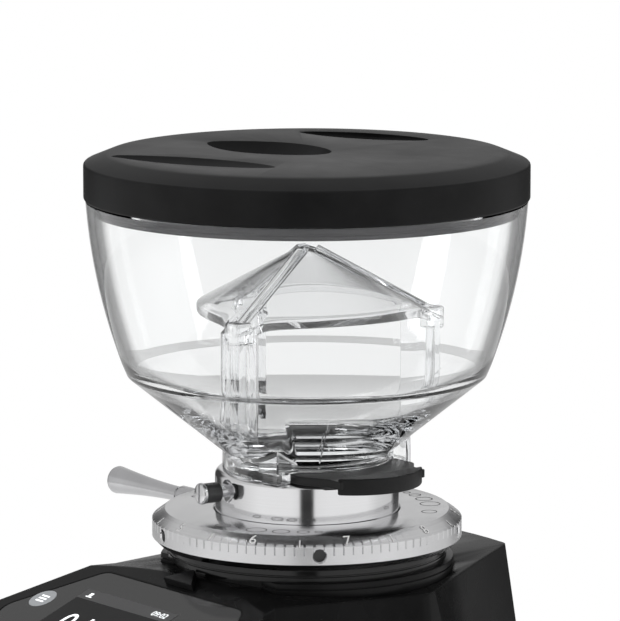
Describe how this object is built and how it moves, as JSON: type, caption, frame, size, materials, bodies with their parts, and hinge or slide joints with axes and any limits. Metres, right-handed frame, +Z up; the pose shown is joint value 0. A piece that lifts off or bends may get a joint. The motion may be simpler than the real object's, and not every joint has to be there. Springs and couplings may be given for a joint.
{
  "type": "burr coffee grinder",
  "caption": "On-demand burr coffee grinder with a clear lidded hopper, a lever-turned grind adjustment ring, a sloping control panel and a portafilter fork.",
  "frame": {"origin": "middle of the whole grinder's box, at the underside of the feet", "axes": "+Z up, +X to the right of a person who stands at the control panel, +Y towards the rear"},
  "size_m": [0.2445, 0.355, 0.6077],
  "materials": {
    "lid_black": "dark moulded plastic, satin gloss",
    "seal_rubber": "soft black rubber",
    "clear_bowl": "clear moulded plastic",
    "black_plastic": "fine satin",
    "polished_steel": "polished",
    "turned_aluminium": "turned and polished",
    "burr_steel": "hardened tool steel",
    "screw_steel": "blackened steel",
    "spring_steel": "bright spring wire",
    "cast_black": "black coated casting",
    "satin_black": "satin black coat",
    "grey_paint": "semi-gloss black coat",
    "cast_aluminium": "as cast",
    "lamination_steel": "stacked steel sheets",
    "copper_winding": "enamelled copper wire",
    "capacitor_can": "drawn can",
    "panel_glass": "black glossy glass",
    "display_face": "lit display",
    "board_green": "lacquered board",
    "fork_steel": "brushed",
    "base_coat": "satin black coat",
    "cover_steel": "zinc-plated sheet",
    "tray_steel": "brushed stainless sheet"
  },
  "bodies": {
    "housing": {"carrier_springs": "spring_steel", "grinding_chamber": "cast_black", "chamber_screws": "screw_steel", "flange_plate": "grey_paint", "shaft_seal": "seal_rubber", "upper_bearing": "spring_steel", "lower_bearing": "spring_steel", "upper_end_cap": "cast_aluminium", "lower_end_cap": "cast_aluminium", "stator_core": "lamination_steel", "stator_windings": "copper_winding", "motor_bolts": "screw_steel", "run_capacitor": "capacitor_can", "body_casing": "satin_black", "ring_pointer": "grey_paint", "control_glass": "panel_glass", "display_module": "display_face", "control_board": "board_green", "head_cover": "black_plastic", "outlet_duct": "black_plastic", "clump_grid": "spring_steel", "outlet_spout": "black_plastic", "portafilter_fork": "fork_steel", "fork_screws": "screw_steel", "dose_switch": "black_plastic", "rear_cover": "satin_black", "cover_screws": "screw_steel", "power_inlet": "black_plastic", "switch_body": "black_plastic", "base_casting": "base_coat", "base_cover": "cover_steel", "rubber_feet": "seal_rubber"},
    "burr_carrier": {"upper_burr_carrier": "polished_steel", "upper_burr": "burr_steel", "upper_burr_screws": "screw_steel"},
    "ring": {"adjustment_ring": "turned_aluminium", "ring_lever": "polished_steel"},
    "lock": {"lock_screw": "polished_steel", "lock_knob": "black_plastic"},
    "hopper": {"hopper_bowl": "clear_bowl", "bean_guard": "clear_bowl"},
    "gate": {"hopper_gate": "black_plastic"},
    "lid": {"hopper_lid": "lid_black", "lid_seal": "seal_rubber"},
    "spindle": {"drive_shaft": "spring_steel", "lower_burr_carrier": "cast_aluminium", "lower_burr": "burr_steel", "lower_burr_screws": "screw_steel", "carrier_nut": "screw_steel", "motor_rotor": "lamination_steel", "cooling_fan": "black_plastic"},
    "dosing_button": {"dose_button": "fork_steel"},
    "rocker": {"power_rocker": "black_plastic"},
    "tray": {"grounds_tray": "tray_steel"}
  },
  "joints": [
    {"name": "burr_gap", "type": "slide", "parent": "housing", "child": "burr_carrier", "axis": [0, 0, 1], "range_m": [-0.00031, 0.00121], "deforming": ["carrier_springs"]},
    {"name": "grind_adjust", "type": "hinge", "parent": "burr_carrier", "child": "ring", "pos_m": [0.00932, 0.0415, 0.446], "axis": [0, 0, 1], "range_deg": [-72, 288]},
    {"name": "hopper_lock", "type": "hinge", "parent": "burr_carrier", "child": "lock", "pos_m": [0.00359, -0.00515, 0.465], "axis": [-0.1219, -0.9925, 0], "range_deg": [0, 300]},
    {"name": "hopper_lift", "type": "slide", "parent": "burr_carrier", "child": "hopper", "axis": [0, 0, 1], "range_m": [0, 0.03]},
    {"name": "gate_pull", "type": "slide", "parent": "hopper", "child": "gate", "axis": [1, 0, 0], "range_m": [0, 0.05]},
    {"name": "lid_lift", "type": "slide", "parent": "hopper", "child": "lid", "axis": [0, 0, 1], "range_m": [0, 0.03]},
    {"name": "spindle_spin", "type": "hinge", "parent": "housing", "child": "spindle", "pos_m": [0.00932, 0.0415, 0.35], "axis": [0, 0, 1], "continuous": true},
    {"name": "dose_press", "type": "slide", "parent": "housing", "child": "dosing_button", "axis": [0, 1, 0], "range_m": [0, 0.003], "stiffness_N_per_m": 600, "springref_m": -0.002},
    {"name": "power_rock", "type": "hinge", "parent": "housing", "child": "rocker", "pos_m": [-0.05068, -0.0215, 0.084], "axis": [1, 0, 0], "range_deg": [0, 16]},
    {"name": "tray_pull", "type": "slide", "parent": "housing", "child": "tray", "axis": [0, -1, 0], "range_m": [0, 0.12]}
  ],
  "couplings": [
    {"joint": "burr_gap", "follows": "grind_adjust", "m_per_rad": 0.00023873}
  ]
}
